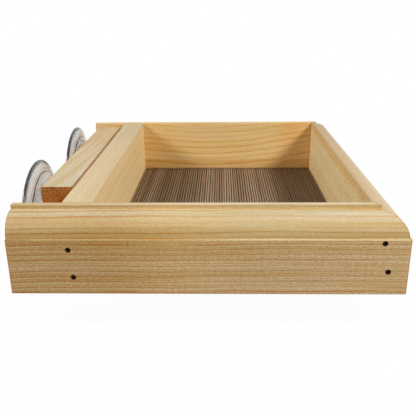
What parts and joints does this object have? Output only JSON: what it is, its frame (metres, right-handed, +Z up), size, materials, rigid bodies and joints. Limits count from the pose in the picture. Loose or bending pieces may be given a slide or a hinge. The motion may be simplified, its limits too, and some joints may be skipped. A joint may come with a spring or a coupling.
{
  "type": "window bird feeder",
  "caption": "Open pine tray bird feeder with moulded, mitred rails and a lift-out screen floor, held on a window pane by suction cups on a strip at its back.",
  "frame": {"origin": "on the window pane, midway between the two suction cups, at the height of their axes", "axes": "+X away from the pane, +Y along the pane, +Z up"},
  "size_m": [0.2245, 0.259, 0.078],
  "materials": {
    "pine_moulding": "planed and moulded pine, unfinished",
    "pine_board": "planed pine, unfinished",
    "screen_brown": "brown coated wire screen, satin",
    "clear_vinyl": "soft clear vinyl, glossy",
    "screw_steel": "zinc-plated steel",
    "nail_steel": "bright steel, dulled"
  },
  "bodies": {
    "frame": {"front_rail": "pine_moulding", "back_rail": "pine_moulding", "outer_rail": "pine_moulding", "window_board": "pine_board", "mounting_strip": "pine_board", "front_ledge": "pine_board", "back_ledge": "pine_board", "window_ledge": "pine_board", "outer_ledge": "pine_board", "suction_cup_front": "clear_vinyl", "suction_cup_back": "clear_vinyl", "cup_screws": "screw_steel", "strip_screws": "screw_steel", "front_board_nails": "nail_steel", "front_corner_nails": "nail_steel", "back_board_nails": "nail_steel", "back_corner_nails": "nail_steel", "front_ledge_brads": "nail_steel", "back_ledge_brads": "nail_steel", "window_ledge_brads": "nail_steel", "outer_ledge_brads": "nail_steel"},
    "floor": {"floor_screen": "screen_brown"}
  },
  "joints": [
    {"name": "floor_lift", "type": "slide", "parent": "frame", "child": "floor", "axis": [0, 0, 1], "range_m": [0, 0.06]}
  ]
}
